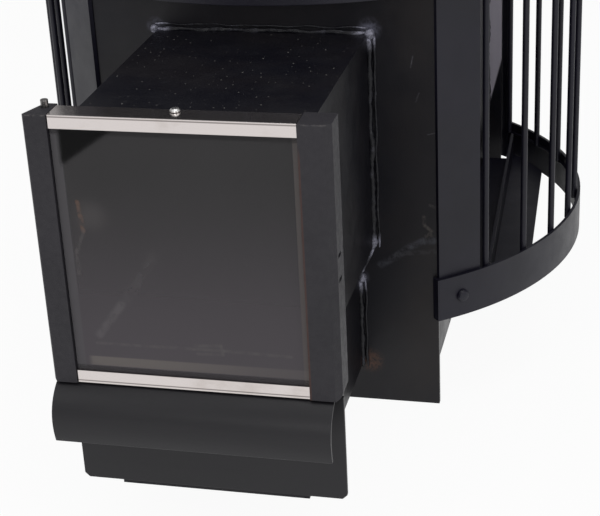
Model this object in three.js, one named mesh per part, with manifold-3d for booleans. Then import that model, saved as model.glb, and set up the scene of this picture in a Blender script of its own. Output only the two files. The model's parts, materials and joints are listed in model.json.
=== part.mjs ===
// Wood-burning sauna stove: a steel firebox in a round, open stone cage, with a fire tunnel
// that carries a glass door and, under it, a duct for the ash drawer.
// Millimetres, +Z up. The cage axis is x = 0, y = 0 while modelling, and the front faces -Y.
import * as THREE from 'three';
import { mergeVertices } from 'three/addons/utils/BufferGeometryUtils.js';
import Module from 'manifold-3d';

const wasm = await Module();
wasm.setup();

// Clearances
const fit = 0.3;
const pinPlay = 0.08;
const swingGap = 1.7;

// Stone cage
const cageRadius = 265;
const cageTop = 740;
const hoopWall = 3;
const hoopHeight = 41;
const hoopBottom = 92;
const postWidth = 44;
const postWall = 4;
const frontPostAngle = 49;
const rearPostAngle = 53.5;
const barDiameter = 6;
const barLap = 9.5;
const sideBars = 9;
const firstSideBar = -42.2;
const sideBarPitch = 11.25;
const rearBars = 3;
const frontBars = 3;
const frontBandGap = 39.5;
const boltRadius = 3;
const boltHeadRadius = 6;
const boltHeadHeight = 4;
const nutRadius = 5;
const nutHeight = 5;

// Firebox
const frontPlateInset = 1.2;
const rearSetback = 67.5;
const plateWall = 6;
const shellWall = 5;
const sideInset = 4;
const legHeight = 34;
const fireboxTop = 520;
const topWall = 10;
const hearthLevel = 150;
const hearthWall = 6;
const grateWidth = 160;
const grateLength = 190;
const grateWall = 10;
const grateLedge = 10;
const grateSlots = 7;
const grateSlotWidth = 11;
const grateSlotPitch = 20;
const flueBore = 115;
const flueWall = 5;
const flueHeight = 60;
const flueSetback = 60;

// Stone shelves beside the firebox
const shelfLevel = 100;
const shelfWall = 3;
const shelfSetback = 43.6;
const shelfSkew = 0.042;
const shelfEndGap = 13;
const shelfInnerHalf = 162;
const shelfRibSetback = 77.5;
const shelfRibHeight = 24;

// Fire tunnel and ash duct
const doorReach = 256;
const tunnelWidth = 188;
const tunnelBottom = 160;
const tunnelTop = 360;
const tunnelWall = 4;
const ductWidth = 160;
const ductBottom = 36;
const ductTop = 128;
const ductWall = 3;

// Front frame behind the door
const frameLap = 17;
const frameFoot = 43;
const frameWall = 4;
const collarWall = 4;

// Door
const doorSideLap = 23;
const doorEndLap = 13;
const postDepth = 26;
const leftPostWidth = 19;
const rightPostWidth = 25;
const postChamfer = 5;
const leftPostEdge = 1.5;
const leftPostLean = 9;
const leftCornerRadius = 3;
const postCornerRadius = 6;
const gripSlotOffsets = [-15, 5];
const gripSlotLength = 9;
const gripSlotHeight = 3;
const gripSlotDepth = 5;
const trimHeight = 11;
const trimSheet = 1.5;
const trimDepth = 21;
const trimRecess = 1.5;
const glassWall = 4;
const glassLap = 7;
const sealSection = 6;
const pinRadius = 3;
const pinInset = 12;
const pinBackset = 8;
const pinProud = 6;
const lugHeight = 8;
const lugHalfWidth = 5.5;
const upperLugDrop = 47;
const screwRadius = 2;
const screwHeadRadius = 4;
const screwHeadHeight = 2.4;
const screwLength = 9;

// Ash drawer
const drawerInset = 4.5;
const drawerBottom = 41;
const drawerTop = 136;
const drawerWall = 3.5;
const drawerChamfer = 4;
const trayWall = 2;
const trayHeight = 70;
const trayLength = 470;
const trayPlay = 3;
const lipInset = 6.5;
const lipBottom = 99.5;
const lipSheet = 3;
const lipTopReach = 24;
const lipBulgeReach = 49;
const lipBottomReach = 39;
const lipWebWidth = 192;
const lipWebWall = 3;

// Levels and faces that follow from the driving dimensions
const hoopInner = cageRadius - hoopWall;
const postOuter = Math.sqrt(hoopInner ** 2 - (postWidth / 2) ** 2) - fit;
const postInner = postOuter - postWall;
const barCircle = hoopInner - fit - barDiameter / 2;
const frontBandBottom = tunnelTop + frontBandGap;
const frontPost = radians(frontPostAngle);
const postFoot = postInner * Math.sin(frontPost) + (postWidth / 2) * Math.cos(frontPost);
const plateFront = frontPlateInset - postFoot;
const plateBack = plateFront + plateWall;
const plateHalf = (postInner - fit + plateFront * Math.sin(frontPost)) / Math.cos(frontPost);
const sideOuter = plateHalf - sideInset;
const sideInner = sideOuter - shellWall;
const rearFront = cageRadius - rearSetback - shellWall;
const rearBack = rearFront + shellWall;
const rearPost = radians(rearPostAngle);
const rearHalf = (postInner - fit - rearBack * Math.sin(rearPost)) / Math.cos(rearPost);
const hearthTop = hearthLevel + hearthWall;
const doorFront = plateFront - doorReach;
const doorBack = doorFront + postDepth;
const doorHalf = tunnelWidth / 2 + doorSideLap;
const doorBottom = tunnelBottom - doorEndLap;
const doorTop = tunnelTop + doorEndLap;
const leftPostInner = -doorHalf + leftPostWidth;
const rightPostInner = doorHalf - rightPostWidth;
const frameFront = doorBack + drawerWall + fit;
const frameBack = frameFront + frameWall;
const tunnelFront = frameBack + fit;
const fireBottom = tunnelBottom + tunnelWall;
const fireTop = tunnelTop - tunnelWall;
const ashHalf = ductWidth / 2 - ductWall;
const ashBottom = ductBottom + ductWall;
const ashTop = ductTop - ductWall;
const collarHalf = Math.min(-leftPostInner, rightPostInner) - 5 * fit;
const fireHalf = Math.min(collarHalf - collarWall, tunnelWidth / 2 - tunnelWall);
const trimFront = doorFront + trimRecess;
const glassFront = trimFront + trimSheet + fit;
const glassBack = glassFront + glassWall;
const sealFront = glassBack + fit;
const sealBack = sealFront + sealSection;
const collarFront = sealBack + fit;
const pinX = -doorHalf + pinInset;
const pinY = doorBack - pinBackset;
const lowerLugTop = doorBottom - fit;
const upperLugBottom = doorTop - upperLugDrop;
const lipTop = doorBottom - swingGap;

function radians(degrees) {
  return THREE.MathUtils.degToRad(degrees);
}

// Geometry helpers
function block(x0, x1, y0, y1, z0, z1) {
  const geometry = new THREE.BoxGeometry(x1 - x0, y1 - y0, z1 - z0);
  return geometry.translate((x0 + x1) / 2, (y0 + y1) / 2, (z0 + z1) / 2);
}

// A block given by its reach from the cage axis and its sideways span, turned to an angle.
function polarBlock(angle, r0, r1, s0, s1, z0, z1) {
  return block(r0, r1, s0, s1, z0, z1).rotateZ(radians(angle));
}

function rod(radius, x, y, z0, z1, sides) {
  const geometry = new THREE.CylinderGeometry(radius, radius, z1 - z0, sides);
  return geometry.rotateX(Math.PI / 2).translate(x, y, (z0 + z1) / 2);
}

function extrude(shape, depth, curveSegments = 12) {
  return new THREE.ExtrudeGeometry(shape, { depth, bevelEnabled: false, curveSegments });
}

function polygon(points) {
  return new THREE.Shape(points.map(([a, b]) => new THREE.Vector2(a, b)));
}

// An outline in x and y, raised from z0 to z1.
function lying(shape, z0, z1, curveSegments) {
  return extrude(shape, z1 - z0, curveSegments).translate(0, 0, z0);
}

// An outline in x and z, as thick as y0 to y1.
function standing(shape, y0, y1) {
  return extrude(shape, y1 - y0).rotateX(Math.PI / 2).translate(0, y1, 0);
}

// A section in y and z, drawn along x.
function drawn(shape, x0, x1) {
  const axes = new THREE.Matrix4().makeBasis(
    new THREE.Vector3(0, 1, 0),
    new THREE.Vector3(0, 0, 1),
    new THREE.Vector3(1, 0, 0),
  );
  return extrude(shape, x1 - x0).applyMatrix4(axes).translate(x0, 0, 0);
}

function arcBand(r0, r1, a0, a1, z0, z1, curveSegments) {
  const shape = new THREE.Shape();
  shape.absarc(0, 0, r1, radians(a0), radians(a1), false);
  shape.absarc(0, 0, r0, radians(a1), radians(a0), true);
  return lying(shape, z0, z1, curveSegments);
}

function ring(r0, r1, x, y, z0, z1, curveSegments) {
  const shape = new THREE.Shape();
  shape.absarc(x, y, r1, 0, 2 * Math.PI, false);
  const bore = new THREE.Path();
  bore.absarc(x, y, r0, 0, 2 * Math.PI, true);
  shape.holes.push(bore);
  return lying(shape, z0, z1, curveSegments);
}

function solid(geometry) {
  const bare = geometry.clone();
  bare.deleteAttribute('normal');
  bare.deleteAttribute('uv');
  const merged = mergeVertices(bare);
  const vertProperties = new Float32Array(merged.attributes.position.array);
  const triVerts = new Uint32Array(merged.index.array);
  return new wasm.Manifold(new wasm.Mesh({ numProp: 3, vertProperties, triVerts }));
}

function geometryOf(body) {
  const { vertProperties, triVerts } = body.getMesh();
  const geometry = new THREE.BufferGeometry();
  geometry.setAttribute('position', new THREE.BufferAttribute(vertProperties, 3));
  geometry.setIndex(new THREE.BufferAttribute(triVerts, 1));
  const faceted = geometry.toNonIndexed();
  faceted.computeVertexNormals();
  return faceted;
}

function join(first, ...others) {
  return geometryOf(others.reduce((body, other) => body.add(solid(other)), solid(first)));
}

function cut(base, ...tools) {
  return geometryOf(tools.reduce((body, tool) => body.subtract(solid(tool)), solid(base)));
}

function common(first, second) {
  return geometryOf(solid(first).intersect(solid(second)));
}

function mirrored(geometry) {
  const flipped = geometryOf(solid(geometry));
  const position = flipped.attributes.position;
  for (let i = 0; i < position.count; i += 3) {
    const corners = [0, 2, 1].map((k) => new THREE.Vector3().fromBufferAttribute(position, i + k));
    corners.forEach((corner, k) => position.setXYZ(i + k, -corner.x, corner.y, corner.z));
  }
  flipped.computeVertexNormals();
  return flipped;
}

// Finishes, one material for each mesh
const finishes = {
  cage: { color: 0x302e36, roughness: 0.45, metalness: 0.3 },
  steel: { color: 0x1c1b1d, roughness: 0.55, metalness: 0.6 },
  charcoal: { color: 0x37363a, roughness: 0.6, metalness: 0.2 },
  stainless: { color: 0xc8bebc, roughness: 0.2, metalness: 1 },
  zinc: { color: 0xb4b0a6, roughness: 0.35, metalness: 1 },
  iron: { color: 0x2a2827, roughness: 0.8, metalness: 0.5 },
  rope: { color: 0x8a857c, roughness: 1, metalness: 0 },
  glass: { color: 0x46464a, roughness: 0.08, metalness: 0, transparent: true, opacity: 0.55 },
};

function add(group, name, geometry, finish) {
  const mesh = new THREE.Mesh(geometry, new THREE.MeshStandardMaterial(finishes[finish]));
  mesh.name = name;
  group.add(mesh);
}

// Stone cage: posts, hoops, front band, bars and bolts
const boltLevel = hoopBottom + hoopHeight / 2;
const postAngles = {
  front_right: -frontPostAngle,
  front_left: frontPostAngle - 180,
  rear_right: rearPostAngle,
  rear_left: 180 - rearPostAngle,
};

function boltHole(angle) {
  const drill = new THREE.CylinderGeometry(boltRadius + fit, boltRadius + fit, cageRadius, 16);
  drill.rotateZ(Math.PI / 2).translate(cageRadius, 0, boltLevel);
  return drill.rotateZ(radians(angle));
}

function hoopBolt(angle) {
  const nutEnd = postInner - fit;
  const head = cageRadius + fit;
  const profile = [
    [0, nutEnd - nutHeight],
    [nutRadius, nutEnd - nutHeight],
    [nutRadius, nutEnd],
    [boltRadius, nutEnd],
    [boltRadius, head],
    [boltHeadRadius, head],
    [boltHeadRadius, head + boltHeadHeight * 0.3],
    [boltHeadRadius * 0.75, head + boltHeadHeight * 0.8],
    [0, head + boltHeadHeight],
  ];
  const geometry = new THREE.LatheGeometry(profile.map(([r, a]) => new THREE.Vector2(r, a)), 16);
  geometry.rotateZ(-Math.PI / 2).translate(0, 0, boltLevel);
  return geometry.rotateZ(radians(angle));
}

function bottomHoop() {
  const flangeInner = postWidth / 2 + fit;
  const flangeOuter = flangeInner + hoopWall;
  const flangeMiddle = flangeInner + hoopWall / 2;
  const end = frontPostAngle + THREE.MathUtils.radToDeg(Math.asin(flangeMiddle / cageRadius));
  const z1 = hoopBottom + hoopHeight;
  const slope = Math.tan(frontPost);
  const seat = (-plateFront + fit) / Math.sin(frontPost) - flangeInner / slope;
  const reach = Math.sqrt(cageRadius ** 2 - flangeOuter ** 2);
  const band = arcBand(hoopInner, cageRadius, -end, 180 + end, hoopBottom, z1, 96);
  const right = polarBlock(-frontPostAngle, seat, reach, -flangeOuter, -flangeInner, hoopBottom, z1);
  const left = polarBlock(frontPostAngle - 180, seat, reach, flangeInner, flangeOuter, hoopBottom, z1);
  const holes = Object.values(postAngles).map(boltHole);
  return cut(join(band, right, left), ...holes);
}

function barAngles() {
  const angles = {};
  for (let i = 0; i < sideBars; i += 1) {
    const angle = firstSideBar + i * sideBarPitch;
    angles[`bar_right_${i + 1}`] = angle;
    angles[`bar_left_${i + 1}`] = 180 - angle;
  }
  const rearPitch = (180 - 2 * rearPostAngle) / (rearBars + 1);
  for (let i = 1; i <= rearBars; i += 1) {
    angles[`bar_rear_${i}`] = rearPostAngle + i * rearPitch;
  }
  const frontPitch = (180 - 2 * frontPostAngle) / (frontBars + 1);
  for (let i = 1; i <= frontBars; i += 1) {
    angles[`bar_front_${i}`] = frontPostAngle - 180 + i * frontPitch;
  }
  return angles;
}

// A sheet from the firebox to near the bars, with an upright rib. It runs in a little to the rear.
function stoneShelf() {
  const inner = sideOuter + fit;
  const outer = cageRadius - shelfSetback;
  const ribOuter = cageRadius - shelfRibSetback;
  const ribInner = ribOuter - shelfWall;
  const z1 = shelfLevel + shelfWall;
  const z2 = z1 + shelfRibHeight;
  const end = cageRadius;
  const half = shelfInnerHalf;
  const corner = (x, y) => [x - shelfSkew * y, y];
  const sheet = polygon([
    [inner, -half],
    corner(ribInner, -half),
    corner(ribInner, -end),
    corner(outer, -end),
    corner(outer, end),
    corner(ribInner, end),
    corner(ribInner, half),
    [inner, half],
  ]);
  const rib = polygon([
    corner(ribInner, -end),
    corner(ribOuter, -end),
    corner(ribOuter, end),
    corner(ribInner, end),
  ]);
  const reach = rod(cageRadius - shelfEndGap, 0, 0, shelfLevel - 1, z2 + 1, 96);
  return common(join(lying(sheet, shelfLevel, z1), lying(rib, shelfLevel, z2)), reach);
}

function buildCage() {
  const cage = new THREE.Group();
  for (const [place, angle] of Object.entries(postAngles)) {
    const half = postWidth / 2;
    const bar = polarBlock(angle, postInner, postOuter, -half, half, hoopBottom, cageTop);
    add(cage, `post_${place}`, cut(bar, boltHole(angle)), 'cage');
    add(cage, `hoop_bolt_${place}`, hoopBolt(angle), 'cage');
  }
  add(cage, 'hoop_bottom', bottomHoop(), 'cage');
  const topHoop = ring(hoopInner, cageRadius, 0, 0, cageTop - hoopHeight, cageTop, 96);
  add(cage, 'hoop_top', topHoop, 'cage');
  const bandEnd = frontPostAngle - THREE.MathUtils.radToDeg(Math.asin(postWidth / 2 / cageRadius));
  const bandTop = frontBandBottom + hoopHeight;
  const band = arcBand(hoopInner, cageRadius, bandEnd - 180, -bandEnd, frontBandBottom, bandTop, 40);
  add(cage, 'front_band', band, 'cage');
  const barTop = cageTop - hoopHeight + barLap;
  for (const [name, angle] of Object.entries(barAngles())) {
    const seat = name.startsWith('bar_front') ? frontBandBottom : hoopBottom;
    const x = barCircle * Math.cos(radians(angle));
    const y = barCircle * Math.sin(radians(angle));
    add(cage, name, rod(barDiameter / 2, x, y, seat + hoopHeight - barLap, barTop, 12), 'cage');
  }
  add(cage, 'stone_shelf_right', stoneShelf(), 'cage');
  add(cage, 'stone_shelf_left', mirrored(stoneShelf()), 'cage');
  return cage;
}

// Firebox: plates, hearth, grate, flue collar, tunnel and ash duct
function duct(half, z0, z1, wall) {
  const outer = block(-half, half, tunnelFront, plateFront - fit, z0, z1);
  const inner = block(-half + wall, half - wall, tunnelFront - 1, plateFront + 1, z0 + wall, z1 - wall);
  return cut(outer, inner);
}

function grate() {
  const half = grateWidth / 2;
  const reach = grateLength / 2;
  const z0 = hearthTop + fit;
  const slotReach = reach - grateLedge - fit;
  const slots = [];
  for (let i = 0; i < grateSlots; i += 1) {
    const x = (i - (grateSlots - 1) / 2) * grateSlotPitch;
    const x0 = x - grateSlotWidth / 2;
    slots.push(block(x0, x0 + grateSlotWidth, -slotReach, slotReach, z0 - 1, z0 + grateWall + 1));
  }
  return cut(block(-half, half, -reach, reach, z0, z0 + grateWall), ...slots);
}

function buildFirebox() {
  const firebox = new THREE.Group();
  const fireMouth = tunnelWidth / 2 - tunnelWall;
  const front = cut(
    block(-plateHalf, plateHalf, plateFront, plateBack, 0, fireboxTop),
    block(-fireMouth, fireMouth, plateFront - 1, plateBack + 1, fireBottom, fireTop),
    block(-ashHalf, ashHalf, plateFront - 1, plateBack + 1, ashBottom, ashTop),
  );
  add(firebox, 'firebox_front', front, 'steel');
  const rear = block(-rearHalf, rearHalf, rearFront, rearBack, 0, fireboxTop);
  add(firebox, 'firebox_rear', rear, 'steel');
  const y0 = plateBack + fit;
  const y1 = rearFront - fit;
  const right = block(sideInner, sideOuter, y0, y1, legHeight, fireboxTop);
  add(firebox, 'firebox_right', right, 'steel');
  add(firebox, 'firebox_left', mirrored(right), 'steel');
  const inside = sideInner - fit;
  const floor = block(-inside, inside, y0, y1, ashBottom - shellWall, ashBottom);
  add(firebox, 'firebox_floor', floor, 'steel');
  const openHalf = grateWidth / 2 - grateLedge;
  const openReach = grateLength / 2 - grateLedge;
  const hearth = cut(
    block(-inside, inside, y0, y1, hearthLevel, hearthTop),
    block(-openHalf, openHalf, -openReach, openReach, hearthLevel - 1, hearthTop + 1),
  );
  add(firebox, 'hearth_plate', hearth, 'steel');
  add(firebox, 'grate', grate(), 'iron');
  const coverBottom = fireboxTop + fit;
  const coverTop = coverBottom + topWall;
  const cover = cut(
    block(-plateHalf, plateHalf, plateFront, rearBack, coverBottom, coverTop),
    rod(flueBore / 2, 0, flueSetback, coverBottom - 1, coverTop + 1, 48),
  );
  add(firebox, 'firebox_cover', cover, 'steel');
  const collarBottom = coverTop + fit;
  const flueRadius = flueBore / 2;
  const flue = ring(
    flueRadius, flueRadius + flueWall, 0, flueSetback, collarBottom, collarBottom + flueHeight, 48,
  );
  add(firebox, 'flue_collar', flue, 'steel');
  add(firebox, 'fire_tunnel', duct(tunnelWidth / 2, tunnelBottom, tunnelTop, tunnelWall), 'steel');
  add(firebox, 'ash_duct', duct(ductWidth / 2, ductBottom, ductTop, ductWall), 'steel');
  add(firebox, 'front_frame', frontFrame(), 'steel');
  add(firebox, 'hinge_pin', hingePin(), 'zinc');
  return firebox;
}

// Front frame: a plate with a collar that the door seal meets, and two lugs for the hinge pin
function hingeLug(z0, z1) {
  const shape = new THREE.Shape();
  shape.moveTo(pinX + lugHalfWidth, frameFront + frameWall / 2);
  shape.lineTo(pinX - lugHalfWidth, frameFront + frameWall / 2);
  shape.lineTo(pinX - lugHalfWidth, pinY);
  shape.absarc(pinX, pinY, lugHalfWidth, Math.PI, 2 * Math.PI, false);
  const eye = rod(pinRadius + fit, pinX, pinY, z0 - 1, z1 + 1, 24);
  return cut(lying(shape, z0, z1), eye);
}

function frontFrame() {
  const half = tunnelWidth / 2 + frameLap;
  const footHalf = ductWidth / 2;
  const plate = polygon([
    [-footHalf, ductBottom],
    [footHalf, ductBottom],
    [footHalf, frameFoot],
    [half, frameFoot],
    [half, tunnelTop],
    [-half, tunnelTop],
    [-half, frameFoot],
    [-footHalf, frameFoot],
  ]);
  const collarBack = frameFront + frameWall / 2;
  const collar = block(
    -collarHalf, collarHalf, collarFront, collarBack, fireBottom - collarWall, fireTop + collarWall,
  );
  const lower = hingeLug(lowerLugTop - lugHeight, lowerLugTop);
  const upper = hingeLug(upperLugBottom, upperLugBottom + lugHeight);
  const fireMouth = block(-fireHalf, fireHalf, collarFront - 1, frameBack + 1, fireBottom, fireTop);
  const ashMouth = block(-ashHalf, ashHalf, frameFront - 1, frameBack + 1, ashBottom, ashTop);
  const body = join(standing(plate, frameFront, frameBack), collar, lower, upper);
  return cut(body, fireMouth, ashMouth);
}

function hingePin() {
  return rod(pinRadius, pinX, pinY, lowerLugTop - lugHeight, doorTop + pinProud, 24);
}

// Door: two posts, two trims, glass, seal and the trim screw
function roundedFront(x0, x1, cornerX, r) {
  const shape = new THREE.Shape();
  if (cornerX === x0) {
    shape.moveTo(x0 + r, doorBottom);
    shape.lineTo(x1, doorBottom);
    shape.lineTo(x1, doorTop);
    shape.lineTo(x0, doorTop);
    shape.lineTo(x0, doorBottom + r);
    shape.absarc(x0 + r, doorBottom + r, r, Math.PI, 1.5 * Math.PI, false);
  } else {
    shape.moveTo(x0, doorBottom);
    shape.lineTo(x1 - r, doorBottom);
    shape.absarc(x1 - r, doorBottom + r, r, 1.5 * Math.PI, 2 * Math.PI, false);
    shape.lineTo(x1, doorTop);
    shape.lineTo(x0, doorTop);
  }
  return standing(shape, doorFront - 1, doorBack + 1);
}

function leftPost() {
  const section = polygon([
    [-doorHalf + leftPostEdge, doorFront],
    [leftPostInner, doorFront],
    [leftPostInner, doorBack],
    [-doorHalf + leftPostLean, doorBack],
    [-doorHalf, doorFront + leftPostEdge],
  ]);
  const bar = common(
    lying(section, doorBottom, doorTop),
    roundedFront(-doorHalf, leftPostInner, -doorHalf, leftCornerRadius),
  );
  const bore = rod(pinRadius + pinPlay, pinX, pinY, doorBottom - 1, doorTop + 1, 24);
  const notchFront = pinY - lugHalfWidth - pinPlay - 2;
  const z0 = upperLugBottom - fit;
  const z1 = upperLugBottom + lugHeight + fit;
  const notch = block(-doorHalf - 1, leftPostInner + 1, notchFront, doorBack + 1, z0, z1);
  return cut(bar, bore, notch);
}

function rightPost() {
  const section = polygon([
    [rightPostInner, doorFront],
    [doorHalf - postChamfer, doorFront],
    [doorHalf, doorFront + postChamfer],
    [doorHalf, doorBack],
    [rightPostInner, doorBack],
  ]);
  const bar = common(
    lying(section, doorBottom, doorTop),
    roundedFront(rightPostInner, doorHalf, doorHalf, postCornerRadius),
  );
  const slotY = doorFront + postDepth / 2;
  const slotZ = (doorBottom + doorTop) / 2;
  const slots = gripSlotOffsets.map((offset) => block(
    doorHalf - gripSlotDepth, doorHalf + 1,
    slotY - gripSlotLength / 2, slotY + gripSlotLength / 2,
    slotZ + offset, slotZ + offset + gripSlotHeight,
  ));
  return cut(bar, ...slots);
}

// A trim is an angle: a face in front of the glass edge and a flange at the door's top or bottom.
function trim(edge, inward) {
  const face = edge + inward * trimHeight;
  const flange = edge + inward * trimSheet;
  const trimBack = trimFront + trimDepth;
  const section = polygon([
    [trimFront, edge],
    [trimBack, edge],
    [trimBack, flange],
    [trimFront + trimSheet, flange],
    [trimFront + trimSheet, face],
    [trimFront, face],
  ]);
  return drawn(section, leftPostInner + fit, rightPostInner - fit);
}

const screwX = (leftPostInner + rightPostInner) / 2;
const screwY = trimFront + trimDepth - 2 * screwRadius - 1;

function trimScrew() {
  const head = doorTop + fit;
  const profile = [
    [0, head - screwLength],
    [screwRadius, head - screwLength],
    [screwRadius, head],
    [screwHeadRadius, head],
    [screwHeadRadius, head + screwHeadHeight * 0.5],
    [screwHeadRadius * 0.7, head + screwHeadHeight],
    [0, head + screwHeadHeight],
  ];
  const geometry = new THREE.LatheGeometry(profile.map(([r, a]) => new THREE.Vector2(r, a)), 16);
  return geometry.rotateX(Math.PI / 2).translate(screwX, screwY, 0);
}

function doorSeal() {
  const outerHalf = fireHalf + (collarHalf - fireHalf + sealSection) / 2;
  const innerHalf = outerHalf - sealSection;
  const mid = collarWall / 2;
  const bottom = fireBottom - mid;
  const top = fireTop + mid;
  const reach = sealSection / 2;
  return cut(
    block(-outerHalf, outerHalf, sealFront, sealBack, bottom - reach, top + reach),
    block(-innerHalf, innerHalf, sealFront - 1, sealBack + 1, bottom + reach, top - reach),
  );
}

function buildDoor() {
  const door = new THREE.Group();
  add(door, 'door_post_left', leftPost(), 'charcoal');
  add(door, 'door_post_right', rightPost(), 'charcoal');
  const screwHole = rod(screwRadius + fit, screwX, screwY, doorTop - trimHeight, doorTop + 1, 16);
  add(door, 'door_trim_top', cut(trim(doorTop, -1), screwHole), 'stainless');
  add(door, 'door_trim_bottom', trim(doorBottom, 1), 'stainless');
  add(door, 'trim_screw', trimScrew(), 'zinc');
  const glassBottom = doorBottom + trimHeight - glassLap;
  const glassTop = doorTop - trimHeight + glassLap;
  const glassLeft = leftPostInner + fit;
  const glassRight = rightPostInner - fit;
  const pane = block(glassLeft, glassRight, glassFront, glassBack, glassBottom, glassTop);
  add(door, 'door_glass', pane, 'glass');
  add(door, 'door_seal', doorSeal(), 'rope');
  return door;
}

// Ash drawer: a front plate, a curved lip to pull it by, and the tray
function drawerLip() {
  const y = (reach) => doorBack - reach;
  const topY = y(lipTopReach);
  const bulgeY = y(lipBulgeReach);
  const bottomY = y(lipBottomReach);
  const bulgeLevel = lipBottom + (lipTop - lipBottom) * 0.7;
  const shape = new THREE.Shape();
  shape.moveTo(topY, lipTop);
  shape.quadraticCurveTo(bulgeY, bulgeLevel, bottomY, lipBottom);
  shape.lineTo(bottomY + lipSheet, lipBottom);
  shape.quadraticCurveTo(bulgeY + lipSheet, bulgeLevel, topY + lipSheet, lipTop);
  const webTop = drawerTop - lipWebWall;
  const webFront = (topY + 3 * bulgeY) / 4 + 2 * lipSheet;
  const web = block(
    -lipWebWidth / 2, lipWebWidth / 2, webFront, doorBack - fit, webTop - lipWebWall, webTop,
  );
  return join(drawn(shape, -doorHalf, doorHalf - lipInset), web);
}

function ashTray() {
  const half = ashHalf - trayPlay;
  const y1 = frameFront + trayLength;
  const z0 = ashBottom + fit;
  const z1 = z0 + trayHeight;
  return cut(
    block(-half, half, frameFront, y1, z0, z1),
    block(-half + trayWall, half - trayWall, frameFront + trayWall, y1 - trayWall, z0 + trayWall, z1 + 1),
  );
}

function buildDrawer() {
  const drawer = new THREE.Group();
  const half = doorHalf - drawerInset;
  const outline = polygon([
    [-half + drawerChamfer, drawerBottom],
    [half - drawerChamfer, drawerBottom],
    [half, drawerBottom + drawerChamfer],
    [half, drawerTop],
    [-half, drawerTop],
    [-half, drawerBottom + drawerChamfer],
  ]);
  add(drawer, 'drawer_front', standing(outline, doorBack, doorBack + drawerWall), 'charcoal');
  add(drawer, 'drawer_lip', drawerLip(), 'charcoal');
  add(drawer, 'ash_tray', ashTray(), 'steel');
  return drawer;
}

// The origin goes to the middle of the footprint, on the floor.
const stove = new THREE.Group();
stove.add(buildCage(), buildFirebox(), buildDoor(), buildDrawer());
const footprint = new THREE.Box3().setFromObject(stove);
stove.position.y = -(footprint.min.y + footprint.max.y) / 2;

export default stove;
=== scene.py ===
import json
import math

import bpy
from mathutils import Matrix, Vector, noise

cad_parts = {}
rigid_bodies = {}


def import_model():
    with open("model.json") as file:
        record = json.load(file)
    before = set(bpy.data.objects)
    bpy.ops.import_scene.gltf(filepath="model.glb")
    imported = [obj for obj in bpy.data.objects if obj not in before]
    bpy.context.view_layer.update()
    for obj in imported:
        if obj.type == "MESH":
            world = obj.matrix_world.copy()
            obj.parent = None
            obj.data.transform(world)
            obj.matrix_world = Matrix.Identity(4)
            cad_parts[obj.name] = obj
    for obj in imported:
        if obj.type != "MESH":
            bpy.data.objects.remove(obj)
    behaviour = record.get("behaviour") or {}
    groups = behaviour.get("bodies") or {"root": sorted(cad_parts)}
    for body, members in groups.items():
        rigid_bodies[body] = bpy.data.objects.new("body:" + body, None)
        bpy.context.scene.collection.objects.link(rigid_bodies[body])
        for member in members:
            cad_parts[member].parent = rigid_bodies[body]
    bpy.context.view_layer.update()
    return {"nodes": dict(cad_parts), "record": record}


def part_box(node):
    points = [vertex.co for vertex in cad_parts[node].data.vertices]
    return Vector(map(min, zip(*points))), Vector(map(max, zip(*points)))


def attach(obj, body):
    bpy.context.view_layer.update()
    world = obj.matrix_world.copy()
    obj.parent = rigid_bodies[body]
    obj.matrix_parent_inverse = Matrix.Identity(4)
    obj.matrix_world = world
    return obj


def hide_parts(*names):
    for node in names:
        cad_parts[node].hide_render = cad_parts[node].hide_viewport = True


for startup in list(bpy.data.objects):
    bpy.data.objects.remove(startup)

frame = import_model()
nodes = frame["nodes"]
scene = bpy.context.scene

# Sizes of the model that the added details take, in metres
CAGE_SHEET = 0.003
PLATE_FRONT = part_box("firebox_front")[0].y
TUNNEL_LOW, TUNNEL_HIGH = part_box("fire_tunnel")
DUCT_LOW, DUCT_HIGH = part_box("ash_duct")
GLASS_LOW, GLASS_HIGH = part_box("door_glass")
SEAL_LOW, SEAL_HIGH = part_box("door_seal")
FLUE_LOW, FLUE_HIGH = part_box("flue_collar")
COVER_LOW, COVER_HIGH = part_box("firebox_cover")
SIDE_LOW, SIDE_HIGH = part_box("firebox_right")
REAR_LOW, REAR_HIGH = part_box("firebox_rear")
TOP_LOW, TOP_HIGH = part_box("hoop_top")
BAR_LOW, BAR_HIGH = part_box("bar_right_4")
SHELF_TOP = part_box("stone_shelf_right")[0].z + CAGE_SHEET
DOOR_LOW, DOOR_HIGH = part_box("door_post_right")
CAGE_Y = (TOP_LOW.y + TOP_HIGH.y) / 2
HOOP_INNER = TOP_HIGH.x - CAGE_SHEET

# Camera: degrees, place from the cage's axis in metres, and focal length in pixels of the image
CAMERA_YAW = -14.28165
CAMERA_PITCH = 25.14785
CAMERA_ROLL = -2.99196
CAMERA_PLACE = (0.351364, CAGE_Y - 1.490328, 0.765863)
CAMERA_FOCAL = 1588.37
IMAGE_WIDTH = 600
SENSOR_WIDTH = 36


def add_camera():
    """The viewpoint of the photograph, to the right of the front and above it."""
    turn = Matrix.Rotation(math.radians(CAMERA_YAW), 3, "Z")
    tilt = Matrix.Rotation(math.radians(CAMERA_PITCH), 3, "X")
    lean = Matrix.Rotation(math.radians(CAMERA_ROLL), 3, "Z")
    base = Matrix(((1, 0, 0), (0, 0, -1), (0, 1, 0)))
    view = lean @ tilt @ base @ turn
    axes = Matrix((view[0], -view[1], -view[2])).transposed()
    data = bpy.data.cameras.new("camera")
    data.sensor_fit = "HORIZONTAL"
    data.sensor_width = SENSOR_WIDTH
    data.lens = CAMERA_FOCAL / IMAGE_WIDTH * SENSOR_WIDTH
    camera = bpy.data.objects.new("camera", data)
    camera.matrix_world = Matrix.Translation(CAMERA_PLACE) @ axes.to_4x4()
    scene.collection.objects.link(camera)
    scene.camera = camera


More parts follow.
